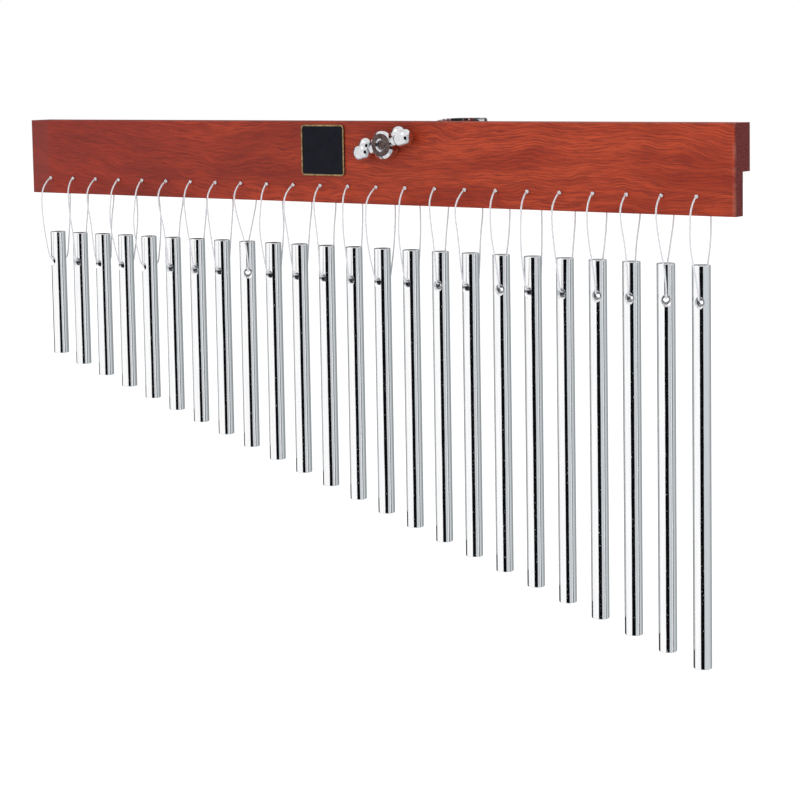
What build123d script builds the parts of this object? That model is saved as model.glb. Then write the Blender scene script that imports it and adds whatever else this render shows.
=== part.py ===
from build123d import *
import math
import os

# Bar chimes: a wooden header with a row of metal bars on cord loops, and a rod clamp behind it.
# Millimetres. +X runs along the row to the longer bars, -Y faces the player and +Z is up.
# The origin is on the axis of the upright rod that the clamp holds, at the height of its bolt.

# Header: a front board with a shorter batten glued behind its upper half
header_length = 498.0
board_height = 46.5
board_thick = 8.5
batten_height = 24.4
batten_thick = 8.5
edge_round = 0.8

# Row of chimes
chime_count = 24
chime_pitch = 20.0
first_hole_from_end = 17.0
cord_hole_dia = 1.8
cord_hole_above_bottom = 9.8
bar_dia = 9.5
shortest_bar = 78.5
bar_step = 5.6
bar_drop = 25.0
bar_hole_dia = 3.2
bar_hole_rim_dia = 5.0
bar_hole_from_top = 18.7
bar_end_round = 0.35
# How far each bar has turned on its loop, in degrees, positive when its front hole looks towards the longer bars
bar_twists = [
    -13, 15, -2, -3, -15, 13, 18, 5, 41, -1, 2, 1,
    6, -7, -1, 13, -6, 20, -7, 6, 20, 13, 29, 15,
]

# Cord loops, each tied with a knot at the front of its hole
cord_dia = 0.9
knot_dia = 2.2
cord_gap = 0.05

# Badge: a thin plate with a raised border
badge_width = 31.0
badge_height = 29.2
badge_thick = 0.6
badge_corner = 2.2
badge_border = 0.9
badge_border_rise = 0.3
badge_left_of_middle = 9.6
badge_below_top = 1.8

# Clamp: place and rod
bolt_right_of_middle = 37.3
bolt_below_top = 12.7
rod_right_of_bolt = 34.7
rod_dia = 12.7
rod_seat_gap = 0.1

# Clamp: back plate and its screws
plate_thick = 2.0
plate_margin = 1.5
plate_end_room = 9.0
plate_corner = 3.0
screw_dia = 3.0
screw_head_dia = 6.0
screw_head_height = 1.6
screw_length = 10.0
screw_slot_width = 0.8
screw_slot_depth = 0.6
screw_from_end = 4.5
screw_from_edge = 4.5
screw_clearance = 0.15

# Clamp: jaw strap and its rubber pad
jaw_thick = 2.5
jaw_bend = 1.0
jaw_draw_gap = 1.5
jaw_rise_over_header = 1.2
jaw_heel_half_height = 9.5
jaw_heel_reach = 13.0
jaw_slope_length = 18.0
jaw_slope_round = 12.0
jaw_end_round = 6.0
jaw_tip_angle = 6.0
pad_thick = 1.5
pad_tip_angle = 16.0
pad_hold_angle = 66.0
pad_lining_inset = 3.0
glue_gap = 0.05

# Clamp: bolt, washer and wing nut
bolt_dia = 6.0
bolt_head_dia = 13.0
bolt_head_height = 3.2
bolt_clearance = 0.3
neck_clearance = 0.1
tip_recess = 1.0
washer_dia = 13.0
washer_thick = 1.0
nut_seat_gap = 0.05
nut_bore_clearance = 0.05
nut_turn = 16.0
hub_dia = 15.6
hub_width = 12.4
hub_length = 7.0
hub_edge = 1.4
bolt_tip_edge = 0.9
bore_ring = 0.6
wing_reach = 14.5
wing_length = 11.0
wing_dia = 9.0
wing_round = 3.6
wing_forward = 4.8
neck_dia = 5.6
lobe_dia = 8.4
lobe_inward = 2.8
lobe_up = 3.2
lobe_back = 0.6

# Places worked out from the sizes above
rod_radius = rod_dia / 2
plate_back = -rod_radius - rod_seat_gap
plate_front = plate_back - plate_thick
batten_front = plate_front - batten_thick
board_front = batten_front - board_thick
board_middle = board_front + board_thick / 2
bolt_x = -rod_right_of_bolt
header_middle = bolt_x - bolt_right_of_middle
header_left = header_middle - header_length / 2
header_top = bolt_below_top
board_bottom = header_top - board_height
batten_bottom = header_top - batten_height
cord_hole_z = board_bottom + cord_hole_above_bottom
bar_top = board_bottom - bar_drop
bar_hole_z = bar_top - bar_hole_from_top
bar_radius = bar_dia / 2
cord_radius = cord_dia / 2
hang_z = bar_hole_z + bar_hole_dia / 2 - cord_radius - cord_gap
knot_y = board_front - knot_dia / 2 - cord_gap


def chime_x(number):
    """Where a chime hangs along the header, counted from 1 at the short end."""
    return header_left + first_hole_from_end + chime_pitch * (number - 1)


def bar_length(number):
    return shortest_bar + bar_step * (number - 1)


def bar_twist(number):
    return bar_twists[(number - 1) % len(bar_twists)]


def hole_along_y(diameter, x, z, front, back):
    """A round cutter along Y from front to back."""
    plane = Plane(origin=(x, front, z), x_dir=(1, 0, 0), z_dir=(0, 1, 0))
    return plane * Cylinder(diameter / 2, back - front, align=(Align.CENTER, Align.CENTER, Align.MIN))


def block(low, high):
    """A box between two corners."""
    size = [b - a for a, b in zip(low, high)]
    return Pos(*low) * Box(*size, align=(Align.MIN, Align.MIN, Align.MIN))


# Header


def make_header_board():
    board = block((header_left, board_front, board_bottom), (header_left + header_length, batten_front, header_top))
    front = board.faces().sort_by(Axis.Y)[0]
    board = fillet(front.edges(), edge_round)
    for number in range(1, chime_count + 1):
        board -= hole_along_y(cord_hole_dia, chime_x(number), cord_hole_z, board_front, batten_front)
    return board - hole_along_y(bolt_dia + 2 * bolt_clearance, bolt_x, 0, board_front, batten_front)


def make_rear_batten():
    batten = block((header_left, batten_front, batten_bottom), (header_left + header_length, plate_front, header_top))
    back = batten.faces().sort_by(Axis.Y)[-1]
    batten = fillet(back.edges(), edge_round)
    for x, z in screw_places():
        depth = screw_length - plate_thick
        batten -= hole_along_y(screw_dia + 2 * screw_clearance, x, z, plate_front - depth, plate_front)
    return batten - hole_along_y(bolt_dia + 2 * bolt_clearance, bolt_x, 0, batten_front, plate_front)


def make_badge_plate():
    middle = (header_middle - badge_left_of_middle, board_front, header_top - badge_below_top - badge_height / 2)
    face = Plane(origin=middle, x_dir=(1, 0, 0), z_dir=(0, -1, 0))
    outline = RectangleRounded(badge_width, badge_height, badge_corner)
    field = RectangleRounded(
        badge_width - 2 * badge_border, badge_height - 2 * badge_border, badge_corner - badge_border
    )
    plate = extrude(outline, badge_thick)
    border = Pos(0, 0, badge_thick) * extrude(outline - field, badge_border_rise)
    return face * (plate + border)


# Clamp


def plate_ends():
    """The back plate's left and right ends: past the jaw's heel and past its padded tip."""
    left = bolt_x - jaw_heel_reach - plate_end_room
    right = rod_radius + 2 * pad_thick + jaw_thick + plate_end_room
    return left, right


def plate_edges():
    return batten_bottom + plate_margin, header_top - plate_margin


def screw_places():
    left, right = plate_ends()
    low, high = plate_edges()
    columns = (left + screw_from_end, right - screw_from_end)
    rows = (low + screw_from_edge, high - screw_from_edge)
    return [(x, z) for x in columns for z in rows]


def screw_head(extra):
    """A countersunk head below the plate's back face, as wide as its top plus extra all round."""
    top = screw_head_dia / 2 + extra
    foot = screw_dia / 2 + extra
    cone = Cone(foot, top, screw_head_height, align=(Align.CENTER, Align.CENTER, Align.MAX))
    return Plane(origin=(0, plate_back, 0), x_dir=(1, 0, 0), z_dir=(0, 1, 0)) * cone


def make_back_plate():
    left, right = plate_ends()
    low, high = plate_edges()
    middle = ((left + right) / 2, plate_back, (low + high) / 2)
    face = Plane(origin=middle, x_dir=(1, 0, 0), z_dir=(0, -1, 0))
    plate = face * extrude(RectangleRounded(right - left, high - low, plate_corner), plate_thick)
    for x, z in screw_places():
        plate -= Pos(x, 0, z) * screw_head(screw_clearance)
        plate -= hole_along_y(screw_dia + 2 * screw_clearance, x, z, plate_front, plate_back)
    return plate - hole_along_y(bolt_dia + 2 * bolt_clearance, bolt_x, 0, plate_front, plate_back)


def make_plate_screws():
    """Four countersunk wood screws, as one group of separate solids."""
    tip_y = plate_back - screw_length + screw_clearance
    shank = hole_along_y(screw_dia, 0, 0, tip_y, plate_back)
    slot_high = plate_back + screw_slot_depth
    slot = block(
        (-screw_head_dia, plate_back - screw_slot_depth, -screw_slot_width / 2),
        (screw_head_dia, slot_high, screw_slot_width / 2),
    )
    screw = screw_head(0) + shank - slot
    return Compound(children=[Pos(x, 0, z) * screw for x, z in screw_places()])


def ring_sector(inner, outer, start, end):
    """The plan of a curved strip about the rod's axis, between two angles in degrees."""
    def at(radius, angle):
        return radius * math.cos(math.radians(angle)), radius * math.sin(math.radians(angle))

    turn = end - start
    outline = [
        CenterArc((0, 0), outer, start, turn),
        Line(at(outer, end), at(inner, end)),
        CenterArc((0, 0), inner, start, turn),
        Line(at(inner, start), at(outer, start)),
    ]
    return make_face(outline)


def jaw_front_view():
    """The jaw as seen from the front: low at its heel, tall at the rod, the same above and below the bolt."""
    tall = bolt_below_top + jaw_rise_over_header
    left = bolt_x - jaw_heel_reach - jaw_thick
    right = rod_radius + 2 * pad_thick + jaw_thick
    slope_end = -(rod_radius + pad_thick + jaw_thick + jaw_bend)
    slope_start = slope_end - jaw_slope_length
    upper = [
        (left, 0),
        (left, jaw_heel_half_height),
        (slope_start, jaw_heel_half_height),
        (slope_end, tall),
        (right, tall),
        (right, 0),
    ]
    heel_round = jaw_heel_half_height / 3
    path = FilletPolyline(*upper, radius=[heel_round, jaw_slope_round, jaw_slope_round, jaw_end_round])
    half = make_face([path, Line(upper[-1], upper[0])])
    whole = half + mirror(half, about=Plane.XZ)
    wall = Plane(origin=(0, rod_dia, 0), x_dir=(1, 0, 0), z_dir=(0, -1, 0))
    return wall * extrude(whole, 2 * rod_dia)


def make_clamp_jaw():
    inner = rod_radius + pad_thick
    outer = inner + jaw_thick
    front = plate_back + jaw_draw_gap
    back = front + jaw_thick
    heel = bolt_x - jaw_heel_reach
    bend_x = -outer - jaw_bend
    bend_y = back + jaw_bend
    wide_bend = jaw_thick + jaw_bend
    tall = 2 * (bolt_below_top + jaw_rise_over_header)
    hook = ring_sector(inner, outer, -jaw_tip_angle, 180)
    neck = Pos((bend_x + jaw_bend + jaw_thick / 2), bend_y / 2) * Rectangle(jaw_thick, -bend_y)
    bend = make_face([
        CenterArc((bend_x, bend_y), jaw_bend, -90, 90),
        Line((bend_x + jaw_bend, bend_y), (bend_x + wide_bend, bend_y)),
        CenterArc((bend_x, bend_y), wide_bend, -90, 90),
        Line((bend_x, bend_y - wide_bend), (bend_x, bend_y - jaw_bend)),
    ])
    bridge = Pos((heel + bend_x) / 2, (front + back) / 2) * Rectangle(bend_x - heel, jaw_thick)
    corner = make_face([
        CenterArc((heel, front), jaw_thick, 90, 90),
        Line((heel - jaw_thick, front), (heel, front)),
        Line((heel, front), (heel, back)),
    ])
    foot = Pos(heel - jaw_thick / 2, (front + plate_back) / 2) * Rectangle(jaw_thick, jaw_draw_gap)
    plan = hook + neck + bend + bridge + corner + foot
    strap = Pos(0, 0, -tall / 2) * extrude(plan, tall)
    square = bolt_dia + 2 * neck_clearance
    strap -= block((bolt_x - square / 2, front, -square / 2), (bolt_x + square / 2, back, square / 2))
    return strap & jaw_front_view()


def make_jaw_pad():
    """A rubber lining in the hook, short of its upper and lower edges, that also caps its tip."""
    inner = rod_radius + pad_thick
    outer = inner + jaw_thick
    tall = 2 * (bolt_below_top + jaw_rise_over_header)
    lining = ring_sector(rod_radius, inner - glue_gap, -pad_tip_angle, 180)
    cap = ring_sector(rod_radius, outer + pad_thick, -pad_tip_angle, pad_hold_angle)
    cap -= ring_sector(inner - glue_gap, outer + glue_gap, -jaw_tip_angle - 1, pad_hold_angle + 1)
    low = tall - 2 * pad_lining_inset
    pad = Pos(0, 0, -low / 2) * extrude(lining, low) + Pos(0, 0, -tall / 2) * extrude(cap, tall)
    return pad & jaw_front_view()


def along_bolt(y):
    """A plane on the bolt's axis at y, with its normal towards the player and its x along +X."""
    return Plane(origin=(bolt_x, y, 0), x_dir=(1, 0, 0), z_dir=(0, -1, 0))


def nut_base():
    return board_front - washer_thick - nut_seat_gap


def make_clamp_bolt():
    """A carriage bolt: a domed head, a square neck in the jaw and a shank that ends inside the wing nut."""
    under_head = plate_back + jaw_draw_gap + jaw_thick
    tip_y = nut_base() - hub_length + tip_recess
    ball = (bolt_head_dia ** 2 / 4 + bolt_head_height ** 2) / (2 * bolt_head_height)
    seat = along_bolt(under_head)
    dome = Pos(0, 0, ball - bolt_head_height) * Sphere(ball)
    dome &= Cylinder(bolt_head_dia, bolt_head_height, align=(Align.CENTER, Align.CENTER, Align.MAX))
    neck = Box(bolt_dia, bolt_dia, jaw_thick, align=(Align.CENTER, Align.CENTER, Align.MIN))
    shank = Cylinder(bolt_dia / 2, under_head - tip_y, align=(Align.CENTER, Align.CENTER, Align.MIN))
    shank = chamfer(shank.faces().sort_by(Axis.Z)[-1].edges(), bolt_tip_edge)
    return seat * (dome + neck + shank)


def make_washer():
    ring = Cylinder(washer_dia / 2, washer_thick, align=(Align.CENTER, Align.CENTER, Align.MIN))
    ring = chamfer(ring.faces().sort_by(Axis.Z)[-1].edges(), washer_thick / 4)
    hole = Cylinder(bolt_dia / 2 + bolt_clearance, washer_thick, align=(Align.CENTER, Align.CENTER, Align.MIN))
    return along_bolt(board_front) * (ring - hole)


def make_wing_nut():
    """A cast nut: a round hub with flat sides, and a rounded knob with a smaller lobe on each wing."""
    knob = Cylinder(wing_dia / 2, wing_length)
    knob = Rot(0, 90, 0) * fillet(knob.edges().filter_by(GeomType.CIRCLE), wing_round)
    hub = extrude(Circle(hub_dia / 2), hub_length)
    hub = chamfer(hub.faces().sort_by(Axis.Z)[-1].edges(), hub_edge)
    hub &= extrude(Rectangle(hub_width, hub_dia), hub_length)
    lobe = Pos(lobe_inward, lobe_up, -lobe_back) * Sphere(lobe_dia / 2)
    neck = Plane(origin=(0, 0, hub_length / 2), z_dir=(-1, 0, 0)) * Cylinder(
        neck_dia / 2, wing_reach, align=(Align.CENTER, Align.CENTER, Align.MIN)
    )
    wing = Pos(-wing_reach, 0, wing_forward) * (knob + lobe) + neck
    hub += wing
    hub += mirror(wing, about=Plane.YZ)
    bore = bolt_dia / 2 + nut_bore_clearance
    hub -= Cylinder(bore, hub_length, align=(Align.CENTER, Align.CENTER, Align.MIN))
    hub -= Cone(bore, bore + bore_ring, bore_ring, align=(Align.CENTER, Align.CENTER, Align.MAX)).moved(
        Location((0, 0, hub_length))
    )
    return along_bolt(nut_base()) * (Rot(0, 0, nut_turn) * hub)


# Chimes


def make_cross_hole():
    """The cutter for a bar's cross hole along Y, flared at both mouths."""
    hole = bar_hole_dia / 2
    rim = bar_hole_rim_dia / 2
    rim_y = math.sqrt(bar_radius ** 2 - rim ** 2)
    flare_y = rim_y - (rim - hole)
    flare_end = rim + bar_dia - rim_y
    outline = Polyline((0, 0), (hole, 0), (hole, flare_y), (flare_end, bar_dia), (0, bar_dia), close=True)
    half = revolve(make_face(outline), Axis.Y)
    return Pos(0, 0, -bar_hole_from_top) * (half + mirror(half, about=Plane.XZ))


def make_bar(number):
    bar = Cylinder(bar_radius, bar_length(number), align=(Align.CENTER, Align.CENTER, Align.MAX))
    bar = fillet(bar.edges().filter_by(GeomType.CIRCLE), bar_end_round)
    bar -= Rot(0, 0, bar_twist(number)) * make_cross_hole()
    return Pos(chime_x(number), board_middle, bar_top) * bar


def cord_points(number):
    """The route of one loop: from the knot back through the board, down behind it, through the bar and up in front.

    Each point is given as a step sideways, its place in depth and height, and its share of the bar's twist.
    """
    lean = 1.2 * math.sin(1.9 * number)
    bulge = 1.0 + 0.22 * math.sin(2.3 * number + 0.6)
    slack = 1.0 + 0.20 * math.sin(1.3 * number + 2.0)
    board_back = batten_front
    bar_front = board_middle - bar_radius
    bar_back = board_middle + bar_radius
    start = (0.0, knot_y + cord_radius, cord_hole_z, 0.0)
    rear = [
        (0.0, board_back + 2.6, cord_hole_z, 0.0),
        (0.4 * lean, board_back + 5.4 * bulge, cord_hole_z - 4.2, 0.0),
        (0.8 * lean, board_back + 6.4 * bulge, cord_hole_z - 12.5, 0.1),
        (0.9 * lean, board_back + 5.2 * slack, cord_hole_z - 25.0, 0.4),
        (0.6 * lean, bar_back + 3.4 * slack, hang_z + 15.5, 0.8),
        (0.2 * lean, bar_back + 2.3, hang_z + 5.0, 1.0),
        (0.0, bar_back + 1.7, hang_z + 1.3, 1.0),
        (0.0, bar_back + 0.2, hang_z, 1.0),
    ]
    front = [
        (0.0, bar_front - 0.2, hang_z, 1.0),
        (0.0, bar_front - 1.7, hang_z + 1.3, 1.0),
        (-0.2 * lean, bar_front - 2.6, hang_z + 5.0, 1.0),
        (-0.6 * lean, bar_front - 4.6 * slack, hang_z + 15.5, 0.8),
        (-0.9 * lean, board_front - 7.0 * slack, cord_hole_z - 25.0, 0.4),
        (-0.8 * lean, board_front - 7.8 * bulge, cord_hole_z - 12.5, 0.1),
        (-0.4 * lean, board_front - 6.2 * bulge, cord_hole_z - 4.2, 0.0),
    ]
    end = (0.0, knot_y - cord_radius, cord_hole_z - 0.3, 0.0)
    points = []
    for dx, y, z, share in [start, *rear, *front, end]:
        arm = Vector(dx, y - board_middle, 0).rotate(Axis.Z, share * bar_twist(number))
        points.append(Vector(chime_x(number), board_middle, z) + arm)
    return points


def corner_radii(points):
    """As large an arc at each corner as its two runs allow."""
    radii = []
    for before, here, after in zip(points, points[1:], points[2:]):
        turn = math.radians((here - before).get_angle(after - here))
        shorter = min((here - before).length, (after - here).length)
        radii.append(0.45 * shorter / math.tan(turn / 2))
    return radii


def make_cord(number):
    points = cord_points(number)
    radii = corner_radii(points)
    path = FilletPolyline(*points, radius=radii)
    section = Plane(origin=path @ 0, z_dir=path % 0) * Circle(cord_radius)
    tube = sweep(section, path)
    expected = math.pi * cord_radius ** 2 * path.length
    print(
        f"cord_{number:02d} length {path.length:.1f} smallest radius {min(radii):.2f}"
        f" volume {tube.volume:.2f} of {expected:.2f}"
    )
    return tube + Pos(chime_x(number), knot_y, cord_hole_z) * Sphere(knot_dia / 2)


def make_pieces():
    pieces = {
        "header_board": make_header_board(),
        "rear_batten": make_rear_batten(),
        "badge_plate": make_badge_plate(),
        "clamp_back_plate": make_back_plate(),
        "plate_screws": make_plate_screws(),
        "clamp_jaw": make_clamp_jaw(),
        "jaw_pad": make_jaw_pad(),
        "clamp_bolt": make_clamp_bolt(),
        "washer": make_washer(),
        "wing_nut": make_wing_nut(),
    }
    for number in range(1, chime_count + 1):
        pieces[f"bar_{number:02d}"] = make_bar(number)
        pieces[f"cord_{number:02d}"] = make_cord(number)
    return pieces


for name, piece in make_pieces().items():
    export_step(piece, f"parts/{name}.step")
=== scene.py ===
import math

import bpy
from mathutils import Matrix, Vector


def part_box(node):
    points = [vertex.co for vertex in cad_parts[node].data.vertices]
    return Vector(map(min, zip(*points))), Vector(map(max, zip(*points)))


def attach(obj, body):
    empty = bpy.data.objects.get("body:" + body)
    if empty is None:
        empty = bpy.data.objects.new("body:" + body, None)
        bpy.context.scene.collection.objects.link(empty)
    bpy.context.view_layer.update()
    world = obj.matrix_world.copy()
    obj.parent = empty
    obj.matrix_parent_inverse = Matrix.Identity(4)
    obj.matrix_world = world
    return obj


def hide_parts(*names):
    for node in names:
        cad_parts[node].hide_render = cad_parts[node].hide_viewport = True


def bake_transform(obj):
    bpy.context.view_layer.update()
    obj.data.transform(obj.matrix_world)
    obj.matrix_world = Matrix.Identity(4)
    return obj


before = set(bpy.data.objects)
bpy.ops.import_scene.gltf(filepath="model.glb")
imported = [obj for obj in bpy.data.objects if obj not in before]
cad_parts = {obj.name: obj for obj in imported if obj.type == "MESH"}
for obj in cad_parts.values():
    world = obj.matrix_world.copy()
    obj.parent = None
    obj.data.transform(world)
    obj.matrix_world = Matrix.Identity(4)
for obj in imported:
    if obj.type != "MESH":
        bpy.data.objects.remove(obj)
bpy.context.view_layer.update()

mm = 0.001

# Sizes repeated from the part's source, in millimetres.
chime_count = 24
chime_pitch = 20.0
first_chime_x = -304.0
bar_radius = 4.75
board_front = -25.45
board_back = -16.95
board_middle = -21.2
cord_hole_z = -24.0
knot_y = -26.6
cord_radius = 0.45
bolt_x = -34.7
hub_front = -33.5
# How far each bar has turned on its loop, in degrees.
bar_twists = [
    -13, 15, -2, -3, -15, 13, 18, 5, 41, -1, 2, 1,
    6, -7, -1, 13, -6, 20, -7, 6, 20, 13, 29, 15,
]

# The scene's own sizes, in millimetres. The cords hang 0.1 mm lower than the source's solids,
# so that the drawn cord clears the edge of the bar's hole.
hang_z = -76.5
# Each finish below fades in between the first and the second of these.
# Radii of the bars' countersink, which carries a painted highlight, and of their bore, which carries
# painted shade.
countersink_radius = (bar_radius - 0.05, bar_radius - 0.20)
bore_radius = (bar_radius - 1.00, bar_radius - 1.40)
hub_face_radius = (7.6, 7.1)
hub_face_y = (hub_front + 0.5, hub_front + 0.2)
bolt_tip_radius = (3.1, 2.8)
bolt_tip_y = (hub_front + 1.6, hub_front + 1.2)
# Where the painted highlight lies along the board's right front edge.
highlight_from_right_end = (2.2, 0.3)
highlight_y = (board_front + 1.85, board_front + 0.45)
strip_from_left_end = (17.0, 13.5)
badge_rim_depth = (0.22, 0.12)

# The camera and the studio, in millimetres and degrees.
camera_place = (601.5, -887.7, 43.4)
camera_yaw, camera_pitch, camera_roll = 36.139, -4.691, -0.962
camera_lens = 86.521
camera_shift = -0.22
studio_yaw = 35.5
floor_z = -640.0
floor_reach = 9000.0
flag_centre = (610.0, -900.0, 0.0)
flag_half_width = 420.0
flag_top = 260.0
flag_over_floor = 2.0
key_place = (-900.0, -1500.0, 1600.0)
key_target = (-70.0, -20.0, -50.0)
key_size = 1400.0


class Value:
    """One output socket of a finish. Arithmetic on it adds Math nodes."""

    def __init__(self, finish, socket):
        self.finish = finish
        self.socket = socket

    def math(self, operation, *others):
        inputs = dict(enumerate([self, *others]))
        return self.finish.node("ShaderNodeMath", {"operation": operation}, inputs)

    def __add__(self, other):
        return self.math("ADD", other)

    __radd__ = __add__

    def __mul__(self, other):
        return self.math("MULTIPLY", other)

    __rmul__ = __mul__

    def __sub__(self, other):
        return self.math("SUBTRACT", other)

    def __rsub__(self, other):
        return self * -1.0 + other

    def __abs__(self):
        return self.math("ABSOLUTE")

    def spread(self, factors):
        """A place, stretched along each axis before a pattern is read there."""
        return self.finish.node("ShaderNodeVectorMath", {"operation": "MULTIPLY"}, {0: self, 1: factors})

    def rise(self, low, high, start=0.0, end=1.0):
        """A smooth step from start at low to end at high."""
        settings = {"interpolation_type": "SMOOTHSTEP"}
        inputs = {0: self, 1: low, 2: high, 3: start, 4: end}
        return self.finish.node("ShaderNodeMapRange", settings, inputs)

    def fade(self, limits):
        """A smooth step between two places that are given in millimetres."""
        return self.rise(limits[0] * mm, limits[1] * mm)


class Finish:
    """The node tree of one surface finish, or of the studio around the part."""

    def __init__(self, tree):
        self.tree = tree
        self.tree.nodes.clear()

    def node(self, kind, settings=None, inputs=None, output=0):
        made = self.tree.nodes.new(kind)
        for name, setting in (settings or {}).items():
            setattr(made, name, setting)
        for key, given in (inputs or {}).items():
            if isinstance(given, Value):
                self.tree.links.new(given.socket, made.inputs[key])
            elif made.inputs[key].type == "RGBA":
                made.inputs[key].default_value = (*given, 1.0)
            else:
                made.inputs[key].default_value = given
        return Value(self, made.outputs[output]) if made.outputs else made

    def place(self):
        return self.node("ShaderNodeTexCoord", output="Object")

    def parts(self, vector):
        return [self.node("ShaderNodeSeparateXYZ", None, {0: vector}, axis) for axis in range(3)]

    def joined(self, x, y, z):
        return self.node("ShaderNodeCombineXYZ", None, {0: x, 1: y, 2: z})

    def noise(self, place, detail=2.0, roughness=0.5):
        inputs = {"Vector": place, "Scale": 1.0, "Detail": detail, "Roughness": roughness}
        return self.node("ShaderNodeTexNoise", {"noise_dimensions": "3D"}, inputs)

    def between(self, first, second, share):
        """A colour between two others."""
        settings = {"data_type": "RGBA", "clamp_factor": True}
        return self.node("ShaderNodeMix", settings, {0: share, 6: first, 7: second}, 2)

    def facing(self, axis):
        """How squarely the surface faces along an axis, either way."""
        normal = self.node("ShaderNodeNewGeometry", output="Normal")
        settings = {"operation": "DOT_PRODUCT"}
        return abs(self.node("ShaderNodeVectorMath", settings, {0: normal, 1: axis}, "Value"))

    def relief(self, height, depth):
        inputs = {"Height": height, "Distance": depth, "Strength": 1.0}
        return self.node("ShaderNodeBump", None, inputs)

    def surface(self, inputs):
        shader = self.node("ShaderNodeBsdfPrincipled", None, inputs)
        self.node("ShaderNodeOutputMaterial", None, {"Surface": shader})


def new_finish(name):
    material = bpy.data.materials.new(name)
    material.use_nodes = True
    return material, Finish(material.node_tree)


def varnished_mahogany():
    """Red-brown figured timber under a satin varnish, with wavy fine streaks, dark end grain and a
    painted highlight along the right front edge.
    """
    material, f = new_finish("varnished_mahogany")
    board_low, board_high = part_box("header_board")
    place = f.place()
    x, y, z = f.parts(place)
    sweep = f.noise(place.spread((8.0, 8.0, 16.0)), 2.0)
    ripple = f.noise(place.spread((62.0, 30.0, 95.0)), 2.0)
    slant = (x + 0.20) * x.rise(-0.12, -0.30) * 0.16
    lift = (sweep - 0.5) * 0.034 + (ripple - 0.5) * 0.0050 + slant
    grain = f.joined(x, y, z + lift)
    streaks = f.noise(grain.spread((66.0, 110.0, 1900.0)), 3.0, 0.60)
    figure = f.noise(grain.spread((11.0, 30.0, 120.0)), 3.0, 0.55)
    pores = f.noise(grain.spread((120.0, 400.0, 2600.0)), 2.0)
    patches = f.noise(place.spread((14.0, 14.0, 26.0)), 2.0)
    to_left = x.rise(0.02, -0.28)
    warm = f.between((0.310, 0.028, 0.008), (0.205, 0.019, 0.009), to_left)
    bright = f.between((0.470, 0.058, 0.018), (0.315, 0.028, 0.012), to_left)
    colour = f.between(warm, bright, (figure * 0.6 + patches * 0.4).rise(0.36, 0.62))
    dark_streak = streaks.rise(0.60, 0.38) * 0.60
    colour = f.between(colour, (0.125, 0.009, 0.006), dark_streak)
    colour = f.between(colour, (0.075, 0.011, 0.010), pores.rise(0.40, 0.30) * 0.55)
    edge_wander = x + (patches - 0.5) * 0.004
    left_strip = (edge_wander - board_low[0]).fade(strip_from_left_end) * 0.45
    colour = f.between(colour, (0.170, 0.030, 0.026), left_strip)
    end_face = f.facing((1.0, 0.0, 0.0)).rise(0.55, 0.85)
    speckle = f.noise(place.spread((300.0, 1100.0, 1500.0)), 3.0, 0.6)
    end_colour = f.between((0.075, 0.010, 0.009), (0.230, 0.036, 0.032), speckle.rise(0.35, 0.68))
    colour = f.between(colour, end_colour, end_face)
    # A patchy, pale pinkish painted highlight along the rounded edge between the front and the right
    # end.
    highlight_edge_band = (board_high[0] - x).fade(highlight_from_right_end) * y.fade(highlight_y)
    painted_edge_highlight = highlight_edge_band * (f.noise(place.spread((30.0, 30.0, 160.0)), 2.0).rise(0.30, 0.58))
    colour = f.between(colour, (0.420, 0.150, 0.105), painted_edge_highlight * 0.42)
    f.surface({
        "Base Color": colour,
        "Roughness": 0.36 + pores * 0.10 + end_face * 0.22,
        "Normal": f.relief(pores * 0.6 + streaks * 0.4, 0.00006),
        "Specular IOR Level": 0.2,
    })
    return material


def polished_bar():
    """Drawn and polished aluminium: a faint wander, fine specks, turned rings on the cut ends, a painted
    highlight on each countersink and painted shade in each bore.
    """
    material, f = new_finish("polished_bar")
    place = f.place()
    x, y, _ = f.parts(place)
    wander = f.noise(place.spread((90.0, 90.0, 26.0)), 2.0)
    specks = f.noise(place.spread((1500.0, 1500.0, 900.0)), 1.0)
    lines = f.noise(place.spread((2600.0, 2600.0, 30.0)), 2.0)
    across = x * (1.0 / (chime_pitch * mm)) + (0.5 - first_chime_x / chime_pitch)
    from_axis = (across.math("FRACT") - 0.5) * (chime_pitch * mm)
    behind = y - board_middle * mm
    radius = (from_axis * from_axis + behind * behind).math("SQRT")
    end_face = f.facing((0.0, 0.0, 1.0)).rise(0.6, 0.9)
    rings = (radius * 26000.0).math("SINE") * end_face
    # Painted highlight on the countersink ring.
    painted_countersink_highlight = radius.fade(countersink_radius) * (1.0 - end_face)
    # Painted shade down the bore, where the hole's inside and the cord in it lie in shadow.
    painted_bore_shade = radius.fade(bore_radius) * (1.0 - end_face)
    colour = f.between((0.90, 0.91, 0.93), (0.985, 0.985, 0.99), lines.rise(0.30, 0.60))
    colour = f.between(colour, (0.96, 0.96, 0.97), painted_countersink_highlight)
    colour = f.between(colour, (0.16, 0.17, 0.18), painted_bore_shade)
    f.surface({
        "Base Color": colour,
        "Metallic": 1.0,
        "Roughness": 0.045 + specks.rise(0.66, 0.74) * 0.30 + end_face * 0.16 + painted_countersink_highlight * 0.28,
        "Normal": f.relief(wander * 0.9 + rings * 0.02, 0.00020),
    })
    return material


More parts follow.
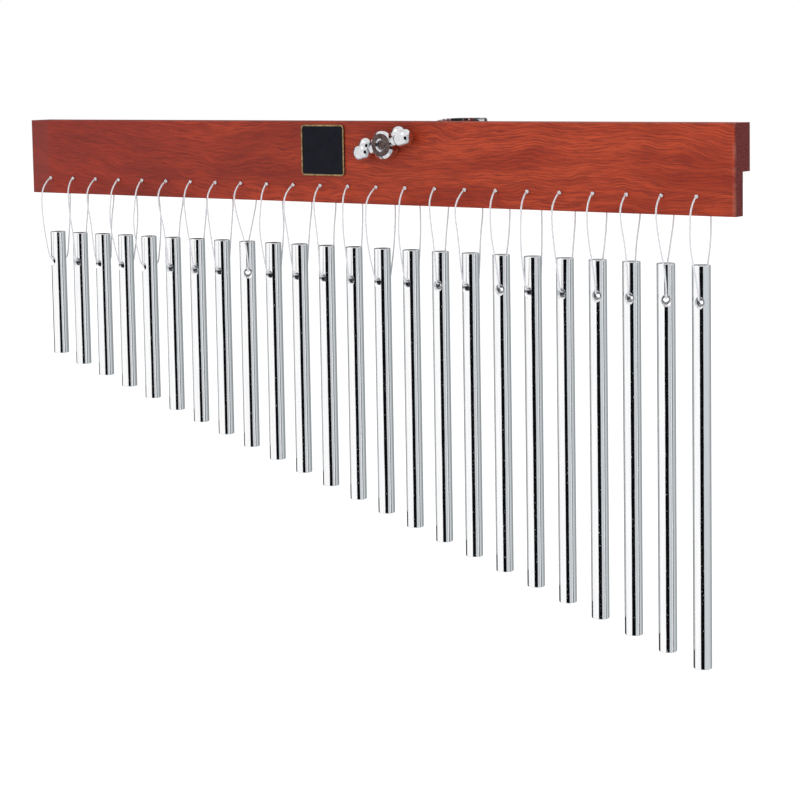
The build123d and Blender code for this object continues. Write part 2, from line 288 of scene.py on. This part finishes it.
def bright_chrome():
    """Plated casting with a faint swim, dull and dark on the wing nut's face and the bolt's tip."""
    material, f = new_finish("bright_chrome")
    place = f.place()
    x, y, z = f.parts(place)
    aside = x - bolt_x * mm
    from_bolt = (aside * aside + z * z).math("SQRT")
    at_face = y.fade(hub_face_y) * f.facing((0.0, 1.0, 0.0)).rise(0.90, 0.97)
    hub_face = at_face * from_bolt.fade(hub_face_radius)
    bolt_tip = y.fade(bolt_tip_y) * from_bolt.fade(bolt_tip_radius)
    dull = hub_face.math("MAXIMUM", bolt_tip)
    swim = f.noise(place.spread((190.0, 190.0, 190.0)), 2.0)
    haze = f.noise(place.spread((700.0, 700.0, 700.0)), 3.0, 0.6)
    colour = f.between((0.60, 0.61, 0.63), (0.78, 0.78, 0.79), haze.rise(0.30, 0.62))
    # A darker, duller colour on the wing nut's front face and the bolt's tip.
    dark_face_colour = f.between((0.060, 0.042, 0.042), (0.150, 0.105, 0.100), haze.rise(0.30, 0.66))
    f.surface({
        "Base Color": f.between(colour, dark_face_colour, dull),
        "Metallic": 1.0,
        "Roughness": 0.06 + haze.rise(0.52, 0.75) * 0.12 + dull * 0.35,
        "Normal": f.relief(swim, 0.00018),
    })
    return material


def brushed_zinc():
    """Zinc-plated sheet steel, brushed along its height."""
    material, f = new_finish("brushed_zinc")
    place = f.place()
    brushing = f.noise(place.spread((2400.0, 900.0, 40.0)), 3.0, 0.6)
    cloud = f.noise(place.spread((120.0, 120.0, 120.0)), 3.0)
    colour = f.between((0.46, 0.47, 0.48), (0.68, 0.68, 0.67), brushing * 0.5 + cloud * 0.5)
    f.surface({
        "Base Color": colour,
        "Metallic": 1.0,
        "Roughness": 0.24 + brushing * 0.18,
        "Normal": f.relief(brushing, 0.00003),
    })
    return material


def black_rubber():
    """Dull moulded rubber with a fine tooth."""
    material, f = new_finish("black_rubber")
    place = f.place()
    tooth = f.noise(place.spread((2200.0, 2200.0, 2200.0)), 2.0)
    bloom = f.noise(place.spread((160.0, 160.0, 160.0)), 3.0)
    colour = f.between((0.012, 0.012, 0.013), (0.034, 0.033, 0.032), bloom)
    f.surface({
        "Base Color": colour,
        "Roughness": 0.55 + bloom * 0.25,
        "Normal": f.relief(tooth, 0.00005),
    })
    return material


def enamel_badge():
    """A black enamelled field inside a raised, dull gold rim."""
    material, f = new_finish("enamel_badge")
    badge_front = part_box("badge_plate")[0][1]
    place = f.place()
    _, y, _ = f.parts(place)
    rim = (y - badge_front).fade(badge_rim_depth)
    tarnish = f.noise(place.spread((420.0, 420.0, 420.0)), 3.0, 0.6)
    mottle = f.noise(place.spread((150.0, 150.0, 150.0)), 3.0)
    gold = f.between((0.200, 0.130, 0.060), (0.420, 0.300, 0.150), tarnish.rise(0.34, 0.66))
    black = f.between((0.004, 0.0045, 0.008), (0.011, 0.012, 0.018), mottle)
    f.surface({
        "Base Color": f.between(black, gold, rim),
        "Metallic": rim,
        "Roughness": 0.30 + rim * 0.12 + tarnish * 0.10,
        "Normal": f.relief(tarnish * 0.5 + mottle * 0.5, 0.00003),
        "Specular IOR Level": 0.06,
    })
    return material


def white_cord():
    """Twisted white synthetic cord: three laid strands, with painted shade greying the grooves."""
    material, f = new_finish("white_cord")
    along = f.node("ShaderNodeTexCoord", output="UV")
    u, v, _ = f.parts(along)
    lay = ((u * 3.0 + v) * (2.0 * math.pi)).math("SINE")
    fuzz = f.noise(f.place().spread((3000.0, 3000.0, 3000.0)), 2.0)
    # Painted shade greys the grooves between the strands.
    painted_groove_shade = lay.rise(-0.2, -0.95)
    colour = f.between((0.86, 0.86, 0.89), (0.58, 0.58, 0.62), painted_groove_shade * 0.8 + fuzz * 0.2)
    f.surface({
        "Base Color": colour,
        "Roughness": 0.62 + fuzz * 0.2,
        "Normal": f.relief(lay * 0.6 + fuzz * 0.4, 0.00010),
    })
    return material


def sweep_tube(name, path, radius, sides=12, closed=False, lay_length=0.0034):
    """A round tube along a list of points, with a coordinate round it and one along it."""
    count = len(path)
    tangents = []
    for i in range(count):
        before = path[i - 1] if closed or i else path[0]
        after = path[(i + 1) % count] if closed or i + 1 < count else path[-1]
        tangents.append((after - before).normalized())
    across = tangents[0].orthogonal().normalized()
    frames = []
    for tangent in tangents:
        across = (across - tangent * across.dot(tangent)).normalized()
        frames.append((across.copy(), tangent.cross(across)))
    if closed:
        last_across, last_other = frames[-1]
        start_across = frames[0][0]
        slip = math.atan2(start_across.dot(last_other), start_across.dot(last_across))
    else:
        slip = 0.0
    vertices = []
    for i, (point, (side, other)) in enumerate(zip(path, frames)):
        for k in range(sides):
            angle = 2.0 * math.pi * k / sides + slip * i / count
            vertices.append(point + (side * math.cos(angle) + other * math.sin(angle)) * radius)
    runs = [0.0]
    for a, b in zip(path, path[1:] + path[:1]):
        runs.append(runs[-1] + (b - a).length / lay_length)
    faces = []
    chart = []
    for i in range(count if closed else count - 1):
        j = (i + 1) % count
        for k in range(sides):
            m = (k + 1) % sides
            faces.append((i * sides + k, j * sides + k, j * sides + m, i * sides + m))
            u, u2 = k / sides, (k + 1) / sides
            chart += [(u, runs[i]), (u, runs[i + 1]), (u2, runs[i + 1]), (u2, runs[i])]
    if not closed:
        faces.append(tuple(range(sides)))
        faces.append(tuple(reversed(range((count - 1) * sides, count * sides))))
        chart += [(0.0, 0.0)] * (2 * sides)
    mesh = bpy.data.meshes.new(name)
    mesh.from_pydata(vertices, [], faces)
    layer = mesh.uv_layers.new(name="lay")
    layer.data.foreach_set("uv", [c for pair in chart for c in pair])
    mesh.polygons.foreach_set("use_smooth", [True] * len(mesh.polygons))
    mesh.validate()
    tube = bpy.data.objects.new(name, mesh)
    bpy.context.scene.collection.objects.link(tube)
    return tube


def chime_x(number):
    return first_chime_x + chime_pitch * (number - 1)


def cord_route(number):
    """The loop's points, as in the part's source.

    They run from the knot through the board, down, through the bar and up to the knot.
    Each has a step sideways, its place in depth and height, and its share of the bar's twist.
    """
    lean = 1.2 * math.sin(1.9 * number)
    bulge = 1.0 + 0.22 * math.sin(2.3 * number + 0.6)
    slack = 1.0 + 0.20 * math.sin(1.3 * number + 2.0)
    bar_front = board_middle - bar_radius
    bar_back = board_middle + bar_radius
    route = [
        (0.0, knot_y + cord_radius, cord_hole_z, 0.0),
        (0.0, board_back + 2.6, cord_hole_z, 0.0),
        (0.4 * lean, board_back + 5.4 * bulge, cord_hole_z - 4.2, 0.0),
        (0.8 * lean, board_back + 6.4 * bulge, cord_hole_z - 12.5, 0.1),
        (0.9 * lean, board_back + 5.2 * slack, cord_hole_z - 25.0, 0.4),
        (0.6 * lean, bar_back + 3.4 * slack, hang_z + 15.5, 0.8),
        (0.2 * lean, bar_back + 2.3, hang_z + 5.0, 1.0),
        (0.0, bar_back + 1.7, hang_z + 1.3, 1.0),
        (0.0, bar_back + 0.2, hang_z, 1.0),
        (0.0, bar_front - 0.2, hang_z, 1.0),
        (0.0, bar_front - 1.7, hang_z + 1.3, 1.0),
        (-0.2 * lean, bar_front - 2.6, hang_z + 5.0, 1.0),
        (-0.6 * lean, bar_front - 4.6 * slack, hang_z + 15.5, 0.8),
        (-0.9 * lean, board_front - 7.0 * slack, cord_hole_z - 25.0, 0.4),
        (-0.8 * lean, board_front - 7.8 * bulge, cord_hole_z - 12.5, 0.1),
        (-0.4 * lean, board_front - 6.2 * bulge, cord_hole_z - 4.2, 0.0),
        (0.0, knot_y - cord_radius, cord_hole_z - 0.3, 0.0),
    ]
    points = []
    for dx, y, z, share in route:
        turn = Matrix.Rotation(math.radians(share * bar_twists[number - 1]), 3, "Z")
        arm = turn @ Vector((dx, y - board_middle, 0.0))
        points.append((Vector((chime_x(number), board_middle, z)) + arm) * mm)
    return points


def smooth_line(points):
    """Points read from the NURBS line that has the route's points as its control points."""
    curve = bpy.data.curves.new("route", "CURVE")
    curve.dimensions = "3D"
    spline = curve.splines.new("NURBS")
    spline.points.add(len(points) - 1)
    for control, point in zip(spline.points, points):
        control.co = (*point, 1.0)
    spline.order_u = 3
    spline.use_endpoint_u = True
    spline.resolution_u = 7
    holder = bpy.data.objects.new("route", curve)
    bpy.context.scene.collection.objects.link(holder)
    bpy.context.view_layer.update()
    line = bpy.data.meshes.new_from_object(holder)
    path = [v.co.copy() for v in line.vertices]
    bpy.data.objects.remove(holder)
    bpy.data.curves.remove(curve)
    bpy.data.meshes.remove(line)
    return path


def hang_cord(number, finish):
    """One loop of cord with its knot, in place of the plain solid."""
    name = f"{number:02d}"
    path = smooth_line(cord_route(number))
    loop = sweep_tube(f"loop_cord_{name}", path, cord_radius * mm)
    loop.data.materials.append(finish)
    knot = tie_knot(number, finish)
    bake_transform(loop)
    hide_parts(f"cord_{name}")


def tie_knot(number, finish):
    """A pulled-up knot that lies against the board over its hole."""
    ring, roll, thick, off_board, steps = 0.50, 0.25, 0.34, 0.66, 60
    turn = 0.9 * number
    path = []
    for i in range(steps):
        t = 2.0 * math.pi * i / steps
        reach = ring + roll * math.cos(3.0 * t)
        sideways = reach * math.cos(2.0 * t + turn)
        upward = reach * math.sin(2.0 * t + turn)
        path.append(Vector((
            chime_x(number) + sideways,
            board_front - off_board + roll * math.sin(3.0 * t),
            cord_hole_z + upward,
        )) * mm)
    knot = sweep_tube(f"knot_{number:02d}", path, thick * mm, 10, True)
    knot.data.materials.append(finish)
    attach(knot, "frame")
    return knot


def dress(finish, *nodes):
    for node in nodes:
        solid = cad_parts[node]
        if not solid.material_slots:
            solid.data.materials.append(finish)
        for slot in solid.material_slots:
            slot.material = finish


def set_camera():
    """The photograph's view, fitted to the header's edges, the cord holes and the bars' ends."""
    yaw, pitch, roll = (math.radians(a) for a in (camera_yaw, camera_pitch, camera_roll))
    level = math.cos(pitch)
    forward = Vector((-math.sin(yaw) * level, math.cos(yaw) * level, math.sin(pitch)))
    right = Vector((math.cos(yaw), math.sin(yaw), 0.0))
    up = right.cross(forward)
    level_right = right * math.cos(roll) + up * math.sin(roll)
    level_up = up * math.cos(roll) - right * math.sin(roll)
    data = bpy.data.cameras.new("photograph_view")
    data.lens = camera_lens
    data.sensor_width = 36.0
    data.shift_y = camera_shift
    data.clip_start = 0.05
    data.clip_end = 60.0
    camera = bpy.data.objects.new("photograph_view", data)
    axes = Matrix((level_right, level_up, -forward)).transposed().to_4x4()
    camera.matrix_world = Matrix.Translation(Vector(camera_place) * mm) @ axes
    bpy.context.scene.collection.objects.link(camera)
    bpy.context.scene.camera = camera


def flat_sheet(name, corners, finish):
    mesh = bpy.data.meshes.new(name)
    mesh.from_pydata(corners, [], [(0, 1, 2, 3)])
    mesh.materials.append(finish)
    sheet = bpy.data.objects.new(name, mesh)
    bpy.context.scene.collection.objects.link(sheet)
    return sheet


def set_studio():
    """White surroundings, grey to the right and dark far left, and a black flag by the camera."""
    scene = bpy.context.scene
    scene.view_settings.view_transform = "Standard"
    world = bpy.data.worlds.new("studio")
    scene.world = world
    world.use_nodes = True
    f = Finish(world.node_tree)
    direction = f.node("ShaderNodeTexCoord", output="Generated")
    x, y, z = f.parts(direction)
    yaw = math.radians(studio_yaw)
    ahead = x * math.sin(yaw) - y * math.cos(yaw)
    aside = x * math.cos(yaw) + y * math.sin(yaw)
    angle = aside.math("ARCTAN2", ahead) * (180.0 / math.pi)
    low_down = z.rise(0.62, 0.34)
    right_side = angle.rise(-3.0, 3.0) * low_down
    far_right = angle.rise(80.0, 125.0) * low_down
    far_left = angle.rise(-112.0, -122.0) * low_down
    white = (1.0, 1.0, 1.0)
    light = f.between(white, (0.60, 0.64, 0.66), right_side)
    light = f.between(light, (0.30, 0.32, 0.33), far_right)
    light = f.between(light, (0.05, 0.05, 0.055), far_left)
    seen = f.node("ShaderNodeLightPath", output="Is Camera Ray")
    light = f.between(light, white, seen)
    background = f.node("ShaderNodeBackground", None, {"Color": light, "Strength": 1.0})
    f.node("ShaderNodeOutputWorld", None, {"Surface": background})

    paper, p = new_finish("white_paper")
    p.surface({
        "Base Color": (0.86, 0.86, 0.86), "Roughness": 0.9,
        "Emission Color": white, "Emission Strength": 0.35,
    })
    reach, low = floor_reach * mm, floor_z * mm
    corners = [(-reach, -reach, low), (reach, -reach, low), (reach, reach, low), (-reach, reach, low)]
    floor = flat_sheet("floor", corners, paper)
    floor.visible_glossy = False

    felt, g = new_finish("black_felt")
    g.surface({"Base Color": (0.004, 0.004, 0.005), "Roughness": 1.0, "Specular IOR Level": 0.0})
    centre = Vector(flag_centre) * mm
    side = Vector((math.cos(yaw), math.sin(yaw), 0.0)) * (flag_half_width * mm)
    left, right = centre - side, centre + side
    top = Vector((0.0, 0.0, flag_top * mm))
    bottom = Vector((0.0, 0.0, (floor_z + flag_over_floor) * mm))
    flag = flat_sheet("black_flag", [left + bottom, right + bottom, right + top, left + top], felt)
    flag.visible_camera = False
    flag.visible_shadow = False
    flag.visible_diffuse = False

    lamp = bpy.data.lights.new("soft_key", "AREA")
    lamp.shape = "DISK"
    lamp.size = key_size * mm
    lamp.energy = 6.0
    key = bpy.data.objects.new("soft_key", lamp)
    key.location = Vector(key_place) * mm
    aim = Vector(key_target) * mm - key.location
    key.rotation_mode = "QUATERNION"
    key.rotation_quaternion = aim.to_track_quat("-Z", "Y")
    scene.collection.objects.link(key)


set_camera()
cord_finish = white_cord()
for number in range(1, chime_count + 1):
    hang_cord(number, cord_finish)

dress(varnished_mahogany(), "header_board", "rear_batten")
dress(polished_bar(), *[f"bar_{number:02d}" for number in range(1, chime_count + 1)])
dress(bright_chrome(), "wing_nut", "clamp_jaw", "clamp_bolt", "washer")
dress(brushed_zinc(), "clamp_back_plate", "plate_screws")
dress(black_rubber(), "jaw_pad")
dress(enamel_badge(), "badge_plate")
set_studio()
